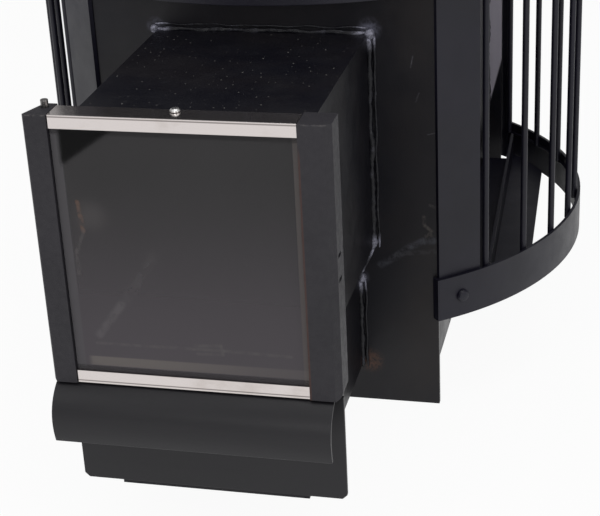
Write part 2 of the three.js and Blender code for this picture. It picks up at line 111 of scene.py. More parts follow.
# Marks on the front plate: half width, colour, and points in x and z
BLUE_MARK = (0.045, 0.047, 0.058)
GREY_MARK = (0.034, 0.033, 0.038)
BROWN_MARK = (0.075, 0.066, 0.06)
SCUFF = (0.06, 0.055, 0.055)
SCRATCH = (0.07, 0.068, 0.078)
PLATE_MARKS = (
    (0.0012, BLUE_MARK, (
        (0.1, 0.142), (0.114, 0.1507), (0.1284, 0.1619), (0.1394, 0.1677), (0.152, 0.1692),
    )),
    (0.0008, GREY_MARK, ((0.115, 0.1536), (0.1264, 0.1553), (0.152, 0.1582))),
    (0.0006, BROWN_MARK, (
        (0.1405, 0.1914), (0.1411, 0.183), (0.1488, 0.1774), (0.1425, 0.1729), (0.1503, 0.1751),
    )),
    (0.0005, SCUFF, ((0.1461, 0.2033), (0.1551, 0.1991))),
    (0.0002, SCRATCH, ((0.145, 0.27), (0.152, 0.272))),
    (0.0002, SCRATCH, ((0.135, 0.3), (0.138, 0.308))),
    (0.0002, SCRATCH, ((0.131, 0.331), (0.133, 0.341))),
)

# Marks on the glass: half width, colour, strength, and points in x and z
BROWN_RUN = (0.25, 0.16, 0.125)
GREY_RUN = (0.2, 0.185, 0.185)
WIPE = (0.24, 0.225, 0.235)
FAINT_WIPE = (0.2, 0.19, 0.195)
CATCH = (0.22, 0.208, 0.205)
GLASS_MARKS = (
    (0.0006, BROWN_RUN, 0.7, ((-0.0819, 0.303), (-0.0808, 0.291), (-0.0796, 0.2795))),
    (0.0005, GREY_RUN, 0.45, ((-0.0796, 0.2795), (-0.0865, 0.262), (-0.087, 0.243))),
    (0.001, WIPE, 0.5, ((-0.0546, 0.2186), (-0.076, 0.1903))),
    (0.0012, FAINT_WIPE, 0.2, ((-0.0242, 0.2623), (-0.0509, 0.2224))),
    (0.0004, CATCH, 0.4, ((-0.0785, 0.1828), (0.0002, 0.1833), (0.0248, 0.1834), (0.0782, 0.1822))),
    (0.0004, CATCH, 0.4, ((0.0021, 0.1862), (0.0227, 0.1877), (0.0238, 0.1798), (0.0032, 0.1791))),
)

# Other places on the finishes, in metres along x and z, and slopes of z against x
BROWN_EDGE = (0.1, 0.14)
REFLECTION_SLOPE = 3.9
REFLECTION_EDGE = (-0.437, -0.429)
RUST_PLACE = (0.0885, PLATE_FRONT, 0.042)
FILM_FADE = (0.165, 0.34)
GLARE_PLACE = (-0.072, GLASS_LOW.y, 0.292)
DARK_REFLECTION_SLOPE = 0.69
DARK_REFLECTION_EDGE = (0.392, 0.4)
DARK_REFLECTION_LEFT = (-0.094, -0.087)
SILL_LEVEL = 0.167
SILL_LEFT = (-0.088, -0.083)
PIN_SIDE = (-0.08, -0.06)


# Node graphs
class Graph:
    def __init__(self, name):
        self.material = bpy.data.materials.new(name)
        self.material.use_nodes = True
        self.tree = self.material.node_tree
        self.tree.nodes.clear()
        self.shader = self.new("ShaderNodeBsdfPrincipled")
        out = self.new("ShaderNodeOutputMaterial")
        self.tree.links.new(self.shader.outputs["BSDF"], out.inputs["Surface"])
        self.place = self.new("ShaderNodeTexCoord").outputs["Object"]
        self.normal = self.new("ShaderNodeNewGeometry").outputs["Normal"]

    def new(self, kind, **settings):
        node = self.tree.nodes.new(kind)
        for key, value in settings.items():
            setattr(node, key, value)
        return node

    def feed(self, socket, value):
        if isinstance(value, bpy.types.NodeSocket):
            self.tree.links.new(value, socket)
        else:
            socket.default_value = value

    def set(self, name, value):
        self.feed(self.shader.inputs[name], value)

    def math(self, operation, first, second=0.0, third=0.0, clamp=False):
        node = self.new("ShaderNodeMath", operation=operation, use_clamp=clamp)
        for socket, value in zip(node.inputs, (first, second, third)):
            self.feed(socket, value)
        return node.outputs[0]

    def axis(self, vector, letter):
        node = self.new("ShaderNodeSeparateXYZ")
        self.feed(node.inputs[0], vector)
        return node.outputs[letter]

    def scaled(self, stretch):
        node = self.new("ShaderNodeMapping")
        self.feed(node.inputs["Vector"], self.place)
        node.inputs["Scale"].default_value = stretch
        return node.outputs[0]

    def noise(self, scale, detail=3.0, rough=0.5, stretch=(1, 1, 1), twist=0.0):
        node = self.new("ShaderNodeTexNoise")
        self.feed(node.inputs["Vector"], self.scaled(stretch))
        node.inputs["Scale"].default_value = scale
        node.inputs["Detail"].default_value = detail
        node.inputs["Roughness"].default_value = rough
        node.inputs["Distortion"].default_value = twist
        return node.outputs[0]

    def specks(self, scale, radius, share, flat=False):
        """Small round spots, in a share of the cells of a grid, which may lie flat in x and y."""
        node = self.new("ShaderNodeTexVoronoi", voronoi_dimensions="2D" if flat else "3D")
        self.feed(node.inputs["Vector"], self.place)
        node.inputs["Scale"].default_value = scale
        pick = self.math("LESS_THAN", self.axis(node.outputs["Color"], "X"), share)
        size = self.math("MULTIPLY", self.axis(node.outputs["Color"], "Y"), radius * scale)
        spot = self.math("LESS_THAN", node.outputs["Distance"], size)
        return self.math("MULTIPLY", pick, spot)

    def band(self, value, low, high, to_low=0.0, to_high=1.0):
        """A smooth step of a value from one level to another."""
        node = self.new("ShaderNodeMapRange", interpolation_type="SMOOTHSTEP")
        self.feed(node.inputs["Value"], value)
        for name, level in zip(("From Min", "From Max", "To Min", "To Max"), (low, high, to_low, to_high)):
            node.inputs[name].default_value = level
        return node.outputs[0]

    def mix(self, factor, first, second):
        node = self.new("ShaderNodeMix", data_type="RGBA")
        self.feed(node.inputs[0], factor)
        for socket, value in ((node.inputs[6], first), (node.inputs[7], second)):
            self.feed(socket, value if isinstance(value, bpy.types.NodeSocket) else (*value, 1))
        return node.outputs[2]

    def bump(self, height, distance, strength=1.0, under=None):
        node = self.new("ShaderNodeBump")
        node.inputs["Distance"].default_value = distance
        node.inputs["Strength"].default_value = strength
        self.feed(node.inputs["Height"], height)
        if under is not None:
            self.feed(node.inputs["Normal"], under)
        return node.outputs[0]

    def spot(self, centre, radius, softness):
        """1 near a point and 0 away from it."""
        node = self.new("ShaderNodeVectorMath", operation="DISTANCE")
        self.feed(node.inputs[0], self.place)
        node.inputs[1].default_value = centre
        return self.band(node.outputs["Value"], radius, radius + softness, 1.0, 0.0)

    def line(self, start, end, width, softness):
        """1 on a straight line between two points and 0 away from it."""
        start = Vector(start)
        along = Vector(end) - start
        offset = self.new("ShaderNodeVectorMath", operation="SUBTRACT")
        self.feed(offset.inputs[0], self.place)
        offset.inputs[1].default_value = start
        dot = self.new("ShaderNodeVectorMath", operation="DOT_PRODUCT")
        self.feed(dot.inputs[0], offset.outputs[0])
        dot.inputs[1].default_value = along / along.length_squared
        share = self.math("MULTIPLY", dot.outputs["Value"], 1.0, clamp=True)
        step = self.new("ShaderNodeVectorMath", operation="SCALE")
        step.inputs[0].default_value = along
        self.feed(step.inputs["Scale"], share)
        gap = self.new("ShaderNodeVectorMath", operation="DISTANCE")
        self.feed(gap.inputs[0], offset.outputs[0])
        self.feed(gap.inputs[1], step.outputs[0])
        return self.band(gap.outputs["Value"], width, width + softness, 1.0, 0.0)


def cage_coat():
    g = Graph("cage_coat")
    cloud = g.noise(7, 4, 0.6)
    g.set("Base Color", g.mix(g.band(cloud, 0.3, 0.7), (0.0045, 0.0041, 0.0098), (0.008, 0.0073, 0.0165)))
    grain = g.noise(1500, 2, 0.6)
    g.set("Roughness", g.band(g.noise(40, 4, 0.7), 0.2, 0.8, 0.38, 0.5))
    g.set("Specular IOR Level", 0.36)
    g.set("Normal", g.bump(grain, 0.0004, 0.22))
    return g.material


def firebox_steel():
    g = Graph("firebox_steel")
    x, y, z = (g.axis(g.place, letter) for letter in "XYZ")
    cloud = g.band(g.noise(6, 5, 0.65, twist=0.6), 0.38, 0.66)
    colour = g.mix(cloud, (0.0026, 0.0026, 0.006), (0.0065, 0.0055, 0.0078))
    streak = g.band(g.noise(60, 6, 0.7, (1, 1, 0.12)), 0.56, 0.78)
    colour = g.mix(g.math("MULTIPLY", streak, 0.35), colour, (0.02, 0.02, 0.024))
    # Heat has tinted the front plate beside the duct; the light patch on the rear plate's edge is a painted
    # reflection.
    face = g.band(g.math("ABSOLUTE", g.math("SUBTRACT", y, PLATE_FRONT)), 0.002, 0.004, 1.0, 0.0)
    brown = g.math("MULTIPLY", face, g.band(x, *BROWN_EDGE))
    brown = g.math("MULTIPLY", brown, g.band(cloud, 0, 1, 0.35, 0.9))
    colour = g.mix(brown, colour, (0.0118, 0.0094, 0.0102))
    cloudy = g.band(g.noise(130, 4, 0.7), 0.35, 0.65)
    for width, shade, path in PLATE_MARKS:
        for start, end in zip(path, path[1:]):
            places = [(place[0], PLATE_FRONT, place[1]) for place in (start, end)]
            mark = g.math("MULTIPLY", g.line(*places, width, width * 3), cloudy)
            colour = g.mix(g.math("MULTIPLY", mark, 0.8), colour, shade)
    # Painted highlights: a bluish light patch on the plate at the ends of the welds.
    weld_glints = (
        (TUNNEL_HIGH.x + 0.002, TUNNEL_HIGH.z + 0.004, 0.011),
        (DUCT_HIGH.x + 0.001, DUCT_HIGH.z, 0.008),
        (TUNNEL_LOW.x - 0.001, TUNNEL_HIGH.z + 0.003, 0.008),
    )
    for glint_x, glint_z, size in weld_glints:
        tone_patch = g.math("MULTIPLY", g.spot((glint_x, PLATE_FRONT, glint_z), 0.002, size), cloudy)
        colour = g.mix(tone_patch, colour, (0.1, 0.1, 0.135))
    # Painted reflection: a light patch on the rear plate's front face beyond the side, above a sloping
    # edge.
    edge = g.math("SUBTRACT", z, g.math("MULTIPLY", x, REFLECTION_SLOPE))
    outside = g.band(x, SIDE_HIGH.x + 0.0005, SIDE_HIGH.x + 0.001)
    painted_reflection = g.math("MULTIPLY", g.band(edge, *REFLECTION_EDGE), outside)
    painted_reflection = g.math("MULTIPLY", painted_reflection, g.band(y, REAR_LOW.y - 0.002, REAR_LOW.y - 0.001))
    painted_reflection = g.math("MULTIPLY", painted_reflection, g.band(z, 0.2, 0.42, 0.85, 1.0))
    inside = g.band(y, REAR_HIGH.y - 0.002, REAR_HIGH.y - 0.001, 1.0, 0.0)
    colour = g.mix(g.math("MULTIPLY", painted_reflection, inside), colour, (0.46, 0.43, 0.5))
    corroded = g.spot(RUST_PLACE, 0.003, 0.012)
    rust = g.math("MULTIPLY", corroded, g.band(g.noise(300, 4, 0.7), 0.35, 0.6))
    colour = g.mix(rust, colour, (0.085, 0.042, 0.028))
    up = g.band(g.axis(g.normal, "Z"), 0.7, 0.9)
    dust = g.math("MULTIPLY", g.specks(110, 0.0007, 0.5, True), up)
    pale = g.math("MULTIPLY", dust, g.band(g.noise(45, 2), 0.35, 0.65, 0.15, 0.8))
    colour = g.mix(pale, colour, (0.22, 0.21, 0.2))
    g.set("Base Color", colour)
    rough = g.band(g.noise(25, 5, 0.7), 0.25, 0.75, 0.34, 0.5)
    g.set("Roughness", g.math("ADD", rough, g.math("MULTIPLY", dust, 0.4)))
    g.set("Specular IOR Level", 0.3)
    g.set("Normal", g.bump(g.noise(900, 3, 0.6), 0.0003, 0.3))
    return g.material


def door_coat():
    g = Graph("door_coat")
    cloud = g.band(g.noise(12, 4, 0.6), 0.3, 0.7)
    colour = g.mix(cloud, (0.0125, 0.0113, 0.0155), (0.018, 0.0163, 0.0215))
    chips = g.specks(60, 0.0007, 0.12)
    colour = g.mix(g.math("MULTIPLY", chips, 0.6), colour, (0.16, 0.15, 0.15))
    # A reddish line runs down the inner edge of the right post.
    x, z = (g.axis(g.place, letter) for letter in "XZ")
    rim = g.band(g.math("ABSOLUTE", g.math("SUBTRACT", x, GLASS_HIGH.x + 0.0006)), 0.0008, 0.0015, 1.0, 0.0)
    rim = g.math("MULTIPLY", rim, g.band(z, DOOR_HIGH.z - 0.03, DOOR_HIGH.z - 0.015, 1.0, 0.0))
    colour = g.mix(g.math("MULTIPLY", rim, 0.85), colour, (0.05, 0.021, 0.016))
    # The coat is worn along the front of each post's upper end.
    upper = g.band(z, DOOR_HIGH.z - 0.0016, DOOR_HIGH.z - 0.0004)
    front = g.band(g.axis(g.place, "Y"), DOOR_LOW.y + 0.0008, DOOR_LOW.y + 0.002, 1.0, 0.0)
    worn = g.math("MULTIPLY", upper, g.band(g.noise(260, 4, 0.7), 0.45, 0.6))
    worn = g.math("MULTIPLY", worn, front)
    colour = g.mix(g.math("MULTIPLY", worn, 0.5), colour, (0.12, 0.11, 0.11))
    g.set("Base Color", colour)
    g.set("Roughness", g.band(g.noise(200, 3, 0.6), 0.3, 0.7, 0.5, 0.62))
    g.set("Specular IOR Level", 0.42)
    g.set("Normal", g.bump(g.noise(800, 2, 0.65), 0.0007, 0.7))
    return g.material


def drawer_coat():
    g = Graph("drawer_coat")
    cloud = g.band(g.noise(9, 4, 0.6, (0.25, 1, 1)), 0.3, 0.7)
    g.set("Base Color", g.mix(cloud, (0.0092, 0.0088, 0.0112), (0.0132, 0.0125, 0.0152)))
    g.set("Roughness", g.band(g.noise(60, 4, 0.7, (0.1, 1, 1)), 0.25, 0.75, 0.38, 0.48))
    g.set("Specular IOR Level", 0.36)
    g.set("Normal", g.bump(g.noise(1300, 2, 0.6), 0.0004, 0.25))
    return g.material


def stainless():
    g = Graph("stainless")
    z = g.axis(g.place, "Z")
    brush = g.noise(700, 3, 0.6, (0.02, 1, 1))
    tone_patch = g.band(g.noise(28, 4, 0.6, (0.6, 1, 1)), 0.5, 0.72)
    colour = g.mix(tone_patch, (0.68, 0.63, 0.615), (0.6, 0.545, 0.52))
    # Each trim is folded close to its outer edge, and a painted dark line there stands for the shade in the
    # fold.
    for level in (DOOR_HIGH.z - 0.0016, DOOR_LOW.z + 0.0022):
        fold_shade = g.band(g.math("ABSOLUTE", g.math("SUBTRACT", z, level)), 0.0003, 0.0008, 1.0, 0.0)
        colour = g.mix(g.math("MULTIPLY", fold_shade, 0.7), colour, (0.12, 0.1, 0.095))
    smudge_from = (-0.088, GLASS_LOW.y, DOOR_HIGH.z - 0.0026)
    smudge_to = (-0.074, GLASS_LOW.y, DOOR_HIGH.z - 0.0024)
    smudge = g.line(smudge_from, smudge_to, 0.0002, 0.0016)
    colour = g.mix(g.math("MULTIPLY", smudge, 0.6), colour, (0.2, 0.17, 0.16))
    g.set("Base Color", colour)
    g.set("Metallic", 1.0)
    g.set("Roughness", g.band(tone_patch, 0, 1, 0.16, 0.26))
    g.set("Normal", g.bump(brush, 0.00012, 0.25))
    return g.material


def zinc():
    g = Graph("zinc")
    cloud = g.band(g.noise(350, 4, 0.6), 0.3, 0.7)
    # The pin at the door's side is duller than the screw in its trim.
    bright = g.band(g.axis(g.place, "X"), *PIN_SIDE)
    dull = g.mix(cloud, (0.13, 0.125, 0.125), (0.28, 0.27, 0.26))
    g.set("Base Color", g.mix(bright, dull, g.mix(cloud, (0.62, 0.61, 0.6), (0.8, 0.79, 0.78))))
    g.set("Metallic", 1.0)
    g.set("Roughness", g.band(g.noise(500, 3, 0.6), 0.3, 0.7, 0.22, 0.36))
    g.set("Normal", g.bump(g.noise(900, 3, 0.6), 0.0002, 0.25))
    return g.material


def door_glass():
    g = Graph("door_glass")
    x, z = (g.axis(g.place, letter) for letter in "XZ")
    cloud = g.band(g.noise(4, 4, 0.55, (1, 1, 0.6)), 0.35, 0.7)
    film = g.mix(g.band(z, *FILM_FADE), (0.15, 0.135, 0.15), (0.07, 0.068, 0.07))
    film = g.mix(g.math("MULTIPLY", cloud, g.band(x, -0.08, 0.07, 0.5, 0.15)), film, (0.115, 0.108, 0.115))
    # Soot: lighter sides, darker ends and runs at the left; the dark corner at the upper left is a painted
    # dark reflection.
    above = g.math("SUBTRACT", z, GLASS_LOW.z + 0.007)
    ends = g.math("MINIMUM", above, g.math("SUBTRACT", GLASS_HIGH.z - 0.007, z))
    left = g.band(x, GLASS_LOW.x + 0.0072, GLASS_LOW.x + 0.0085, 1.0, 0.0)
    right = g.band(x, GLASS_HIGH.x - 0.0046, GLASS_HIGH.x - 0.0036)
    film = g.mix(g.math("MULTIPLY", left, 0.75), film, (0.165, 0.158, 0.17))
    film = g.mix(g.math("MULTIPLY", right, 0.8), film, (0.19, 0.17, 0.165))
    film = g.mix(g.band(ends, 0.003, 0.006, 0.6, 0.0), film, (0.035, 0.033, 0.035))
    glare = g.spot(GLARE_PLACE, 0.001, 0.018)
    film = g.mix(g.math("MULTIPLY", glare, 0.45), film, (0.17, 0.158, 0.16))
    patchy = g.band(g.noise(110, 4, 0.65), 0.36, 0.6, 0.15, 1.0)
    for width, shade, strength, path in GLASS_MARKS:
        for start, end in zip(path, path[1:]):
            places = [(place[0], GLASS_LOW.y, place[1]) for place in (start, end)]
            mark = g.math("MULTIPLY", g.line(*places, width, width * 4), patchy)
            film = g.mix(g.math("MULTIPLY", mark, strength), film, shade)
    # Painted dark reflection: a dark, clearer corner at the upper left.
    corner = g.math("SUBTRACT", z, g.math("MULTIPLY", x, DARK_REFLECTION_SLOPE))
    dark_reflection = g.math("MULTIPLY", g.band(corner, *DARK_REFLECTION_EDGE), g.band(x, *DARK_REFLECTION_LEFT))
    # A painted highlight: a lighter line on the glass where the sill inside shows through.
    sill_highlight = g.band(g.math("ABSOLUTE", g.math("SUBTRACT", z, SILL_LEVEL)), 0.0034, 0.0046, 1.0, 0.0)
    sill_highlight = g.math("MULTIPLY", sill_highlight, g.band(x, -0.05, 0.085, 1.0, 0.35))
    sill_highlight = g.math("MULTIPLY", sill_highlight, g.band(x, *SILL_LEFT))
    film = g.mix(g.math("MULTIPLY", sill_highlight, 0.9), film, (0.26, 0.235, 0.225))
    g.set("Base Color", g.mix(dark_reflection, film, (0.005, 0.005, 0.007)))
    g.set("Transmission Weight", g.band(dark_reflection, 0, 1, 0.5, 0.9))
    g.set("Roughness", g.band(g.noise(30, 4, 0.6), 0.3, 0.7, 0.03, 0.09))
    g.set("IOR", 1.2)
    return g.material


def seal_rope():
    g = Graph("seal_rope")
    cloud = g.band(g.noise(160, 5, 0.7), 0.3, 0.7)
    g.set("Base Color", g.mix(cloud, (0.09, 0.085, 0.078), (0.2, 0.19, 0.175)))
    g.set("Roughness", 0.95)
    g.set("Normal", g.bump(g.noise(1600, 4, 0.7), 0.0008, 0.6))
    return g.material


def grate_iron():
    g = Graph("grate_iron")
    cloud = g.band(g.noise(40, 5, 0.7), 0.35, 0.7)
    g.set("Base Color", g.mix(cloud, (0.02, 0.018, 0.017), (0.05, 0.038, 0.03)))
    g.set("Roughness", g.band(g.noise(90, 4, 0.6), 0.3, 0.7, 0.62, 0.85))
    g.set("Normal", g.bump(g.noise(420, 4, 0.7), 0.0012, 0.6))
    return g.material


def weld_metal():
    g = Graph("weld_metal")
    cloud = g.band(g.noise(90, 5, 0.65), 0.52, 0.74)
    colour = g.mix(g.math("MULTIPLY", cloud, 0.4), (0.0055, 0.0055, 0.0085), (0.09, 0.09, 0.115))
    # The ends of the runs carry a painted highlight: lighter and partly metallic.
    bright = 0.0
    ends = (
        (TUNNEL_HIGH.x, TUNNEL_HIGH.z),
        (TUNNEL_LOW.x, TUNNEL_HIGH.z),
        (TUNNEL_HIGH.x, TUNNEL_LOW.z),
        (DUCT_HIGH.x, DUCT_HIGH.z),
    )
    for x, z in ends:
        bright = g.math("ADD", bright, g.spot((x, PLATE_FRONT, z), 0.004, 0.013))
    bright = g.math("MULTIPLY", bright, g.band(g.noise(220, 4, 0.7), 0.36, 0.6, 0.25, 1.0), clamp=True)
    g.set("Base Color", g.mix(bright, colour, (0.3, 0.3, 0.37)))
    g.set("Metallic", g.math("MULTIPLY", bright, 0.5))
    g.set("Roughness", g.band(g.noise(260, 3, 0.6), 0.3, 0.7, 0.34, 0.55))
    g.set("Specular IOR Level", 0.3)
    g.set("Normal", g.bump(g.noise(500, 3, 0.6), 0.0008, 0.5))
    return g.material


def smooth_group():
    tree = bpy.data.node_groups.new("smooth_by_angle", "GeometryNodeTree")
    tree.interface.new_socket("Geometry", in_out="INPUT", socket_type="NodeSocketGeometry")
    tree.interface.new_socket("Geometry", in_out="OUTPUT", socket_type="NodeSocketGeometry")
    start = tree.nodes.new("NodeGroupInput")
    clear = tree.nodes.new("GeometryNodeRemoveAttribute")
    clear.inputs["Name"].default_value = "custom_normal"
    faces = tree.nodes.new("GeometryNodeSetShadeSmooth")
    edges = tree.nodes.new("GeometryNodeSetShadeSmooth")
    edges.domain = "EDGE"
    angle = tree.nodes.new("GeometryNodeInputMeshEdgeAngle")
    soft = tree.nodes.new("FunctionNodeCompare")
    soft.operation = "LESS_THAN"
    soft.inputs[1].default_value = math.radians(SMOOTH_ANGLE)
    end = tree.nodes.new("NodeGroupOutput")
    tree.links.new(start.outputs[0], clear.inputs["Geometry"])
    tree.links.new(clear.outputs[0], faces.inputs["Geometry"])
    tree.links.new(faces.outputs[0], edges.inputs["Geometry"])
    tree.links.new(angle.outputs["Unsigned Angle"], soft.inputs[0])
    tree.links.new(soft.outputs[0], edges.inputs["Shade Smooth"])
    tree.links.new(edges.outputs[0], end.inputs[0])
    return tree


# Angles between faces, in degrees: kept smooth, given a rounded edge, and merged as flat
SMOOTH_ANGLE = 38
EDGE_ANGLE = 40
FLAT_ANGLE = 0.8
EDGE_SEGMENTS = 2

# Gap within which a CAD piece's points are merged, in metres
MERGE_GAP = 0.00001

# Rounded edges on the CAD pieces, by name, in metres
EDGES = {
    "door_post": 0.0013,
    "door_trim": 0.0004,
    "door_glass": 0.0006,
    "door_seal": 0.001,
    "drawer_front": 0.0006,
    "drawer_lip": 0.0007,
    "ash_tray": 0.0004,
    "grate": 0.0012,
    "post": 0.0008,
    "hoop_bolt": 0.0004,
    "hoop": 0.0008,
    "front_band": 0.0008,
    "bar": 0.0004,
    "stone_shelf": 0.0007,
    "fire": 0.0008,
    "hearth": 0.0006,
    "flue": 0.0008,
    "ash_duct": 0.0006,
    "front_frame": 0.0006,
    "hinge_pin": 0.0005,
    "trim_screw": 0.0003,
}


def round_edges(name, tree):
    piece = nodes[name]
    width = next(size for start, size in EDGES.items() if name.startswith(start))
    weld = piece.modifiers.new("weld", "WELD")
    weld.merge_threshold = MERGE_GAP
    if not name.startswith("stone_shelf"):
        flat = piece.modifiers.new("flat", "DECIMATE")
        flat.decimate_type = "DISSOLVE"
        flat.angle_limit = math.radians(FLAT_ANGLE)
    bevel = piece.modifiers.new("bevel", "BEVEL")
    bevel.width = width
    bevel.segments = EDGE_SEGMENTS
    bevel.limit_method = "ANGLE"
    bevel.angle_limit = math.radians(EDGE_ANGLE)
    smooth = piece.modifiers.new("smooth", "NODES")
    smooth.node_group = tree
    weighted = piece.modifiers.new("weighted", "WEIGHTED_NORMAL")
    weighted.keep_sharp = True


def dress_nodes():
    tree = smooth_group()
    makers = (
        cage_coat, firebox_steel, door_coat, drawer_coat, stainless,
        zinc, door_glass, seal_rope, grate_iron,
    )
    finishes = {maker.__name__: maker() for maker in makers}
    for part in frame["record"]["subparts"]:
        name = part["node"]
        nodes[name].material_slots[0].material = finishes[part["material_slot"]]
        round_edges(name, tree)
    return finishes


# New pieces
def make_piece(name, points, faces, material, body, slot):
    mesh = bpy.data.meshes.new(name)
    mesh.from_pydata(points, [], faces)
    mesh.update()
    mesh.polygons.foreach_set("use_smooth", [True] * len(mesh.polygons))
    mesh.materials.append(material)
    piece = bpy.data.objects.new(name, mesh)
    scene.collection.objects.link(piece)
    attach(piece, body)
    return piece


def tube(path, radius, sides, closed=False):
    """Rings of points along a path, with a radius for each ring and side, joined into a skin."""
    count = len(path)
    points = []
    faces = []
    for i, centre in enumerate(path):
        ahead = path[(i + 1) % count] if closed or i + 1 < count else path[i]
        behind = path[i - 1] if closed or i else path[i]
        along = (ahead - behind).normalized()
        side = along.cross((0, 0, 1) if abs(along.z) < 0.9 else (1, 0, 0)).normalized()
        other = along.cross(side)
        for k in range(sides):
            turn = 2 * math.pi * k / sides
            points.append(centre + (side * math.cos(turn) + other * math.sin(turn)) * radius(i, turn))
    for i in range(count if closed else count - 1):
        for k in range(sides):
            a, b = i * sides + k, i * sides + (k + 1) % sides
            c, d = (i + 1) % count * sides + (k + 1) % sides, (i + 1) % count * sides + k
            faces.append((a, b, c, d))
    if not closed:
        faces.append(tuple(range(sides - 1, -1, -1)))
        faces.append(tuple(range((count - 1) * sides, count * sides)))
    return points, faces


# Weld beads: a bead's sides, its least count of steps, and their length in metres
BEAD_SIDES = 8
LEAST_STEPS = 8
BEAD_STEP = 0.0013
LEAST_ARC_STEPS = 12
ARC_STEP = 0.002

# How a bead wanders and swells: metres, cells of the noise in a metre, and shares of its radius
BEAD_DRIFT = 0.0013
DRIFT_CELLS = 55
SWELL_CELLS = 70
ROUGH_CELLS = 240
BEAD_MEAN = 0.85
SWELL_DEPTH = 0.5
ROUGH_DEPTH = 0.2
RIPPLE_DEPTH = 0.05

# Ripples: turn from ring to ring and bow round the bead, in radians
RIPPLE_TURN = 1.1
RIPPLE_BOW = 1.2

# Rings over which a bead's end tapers, and how far along them its last ring is
TAPER_RINGS = 4
TAPER_END = 0.3

# Places in the noise, far from each other, for the three axes of a bead's drift
DRIFT_FIELDS = ((0, 0, 0), (31.7, 0, 0), (0, 47.3, 0))


def drift(place):
    """A smooth sideways shift that is the same each time the script runs."""
    return Vector([noise.noise(place + Vector(field)) for field in DRIFT_FIELDS])


def weld_run(path, size, seed, closed=False):
    """A hand-laid bead along a path: it drifts, swells and shows faint ripples."""
    count = len(path)
    place = [point + drift(point * DRIFT_CELLS + Vector((seed, 0, 0))) * BEAD_DRIFT for point in path]

    def radius(i, turn):
        swell = noise.noise(path[i] * SWELL_CELLS + Vector((0, seed, 0)))
        rough = noise.noise(path[i] * ROUGH_CELLS + Vector((math.cos(turn), math.sin(turn), seed)))
        ripple = RIPPLE_DEPTH * math.sin(i * RIPPLE_TURN + RIPPLE_BOW * math.cos(turn))
        from_end = min(i, count - 1 - i) + TAPER_END
        edge = 1 if closed else math.sqrt(min(1, from_end / TAPER_RINGS))
        return size * edge * (BEAD_MEAN + SWELL_DEPTH * swell + ROUGH_DEPTH * rough + ripple)

    return tube(place, radius, BEAD_SIDES, closed)


def weld_bead(start, end, size, seed):
    start, end = Vector(start), Vector(end)
    count = max(LEAST_STEPS, int((end - start).length / BEAD_STEP))
    return weld_run([start.lerp(end, i / count) for i in range(count + 1)], size, seed)


def weld_arc(centre, radius, z, first, last, size, seed):
    """A bead round a vertical axis, from one angle to another in degrees."""
    count = max(LEAST_ARC_STEPS, int(math.radians(last - first) * radius / ARC_STEP))
    closed = last - first >= 360
    path = []
    for i in range(count if closed else count + 1):
        turn = math.radians(first + (last - first) * i / count)
        path.append(Vector((centre[0] + radius * math.cos(turn), centre[1] + radius * math.sin(turn), z)))
    return weld_run(path, size, seed, closed)


def gather(parts):
    points = []
    faces = []
    for new_points, new_faces in parts:
        shift = len(points)
        points.extend(new_points)
        faces.extend(tuple(k + shift for k in face) for face in new_faces)
    return points, faces


# Radii of the beads, thick and thin where there are two, in metres
TUNNEL_BEADS = (0.0036, 0.0026)
DUCT_BEADS = (0.0034, 0.0024)
CORNER_BEAD = 0.0016
FLUE_BEAD = 0.0026
COVER_BEAD = 0.0019
REAR_BEAD = 0.0024
SHELF_BEAD = 0.0019
SEAM_BEAD = 0.0017

# How far the beads' middles lie from the steel, and a second run from the first, in metres
DUCT_OFFSET = 0.001
THIN_OFFSET = 0.0006
BOX_OFFSET = 0.0008
COVER_OFFSET = 0.0012
REAR_OFFSET = 0.003
SHELF_OFFSET = 0.0004
SEAM_OFFSET = 0.0012
SECOND_RUN = 0.0045

# Stitches along the shelves: count, pitch, length, and the first one's place before the cage's axis
STITCHES = 5
STITCH_PITCH = 0.06
STITCH_LENGTH = 0.03
STITCH_START = 0.14
SIDE_END_GAP = 0.004

# Seams at the bars' ends, between the posts, in degrees round the cage
SEAM_ANGLES = ((-43, 50), (61, 119), (130, 223))


def duct_beads(low, high, sizes, seed):
    """Beads where a duct meets the front plate, with thin second runs and a blob at each upper corner."""
    y = PLATE_FRONT - DUCT_OFFSET
    left, right = low.x - DUCT_OFFSET, high.x + DUCT_OFFSET
    bottom, top = low.z - THIN_OFFSET, high.z + DUCT_OFFSET
    beside, above = right + SECOND_RUN, top + SECOND_RUN
    thick, thin = sizes
    return [
        weld_bead((left, y, top), (right, y, top), thin, seed),
        weld_bead((left, y, above), (right, y, above), thin * 0.34, seed + 1),
        weld_bead((right, y, top), (right, y, bottom), thick, seed + 2),
        weld_bead((beside, y, top), (beside, y, bottom), thick * 0.45, seed + 3),
        weld_bead((left, y, top), (left, y, bottom), thick, seed + 4),
        weld_bead((left, y, bottom), (right, y, bottom), thin, seed + 5),
        weld_bead((right - 0.003, y, top + 0.001), (right + 0.005, y, top - 0.003), thick * 1.9, seed + 6),
        weld_bead((left - 0.005, y, top - 0.002), (left + 0.003, y, top + 0.001), thick * 1.4, seed + 7),
    ]


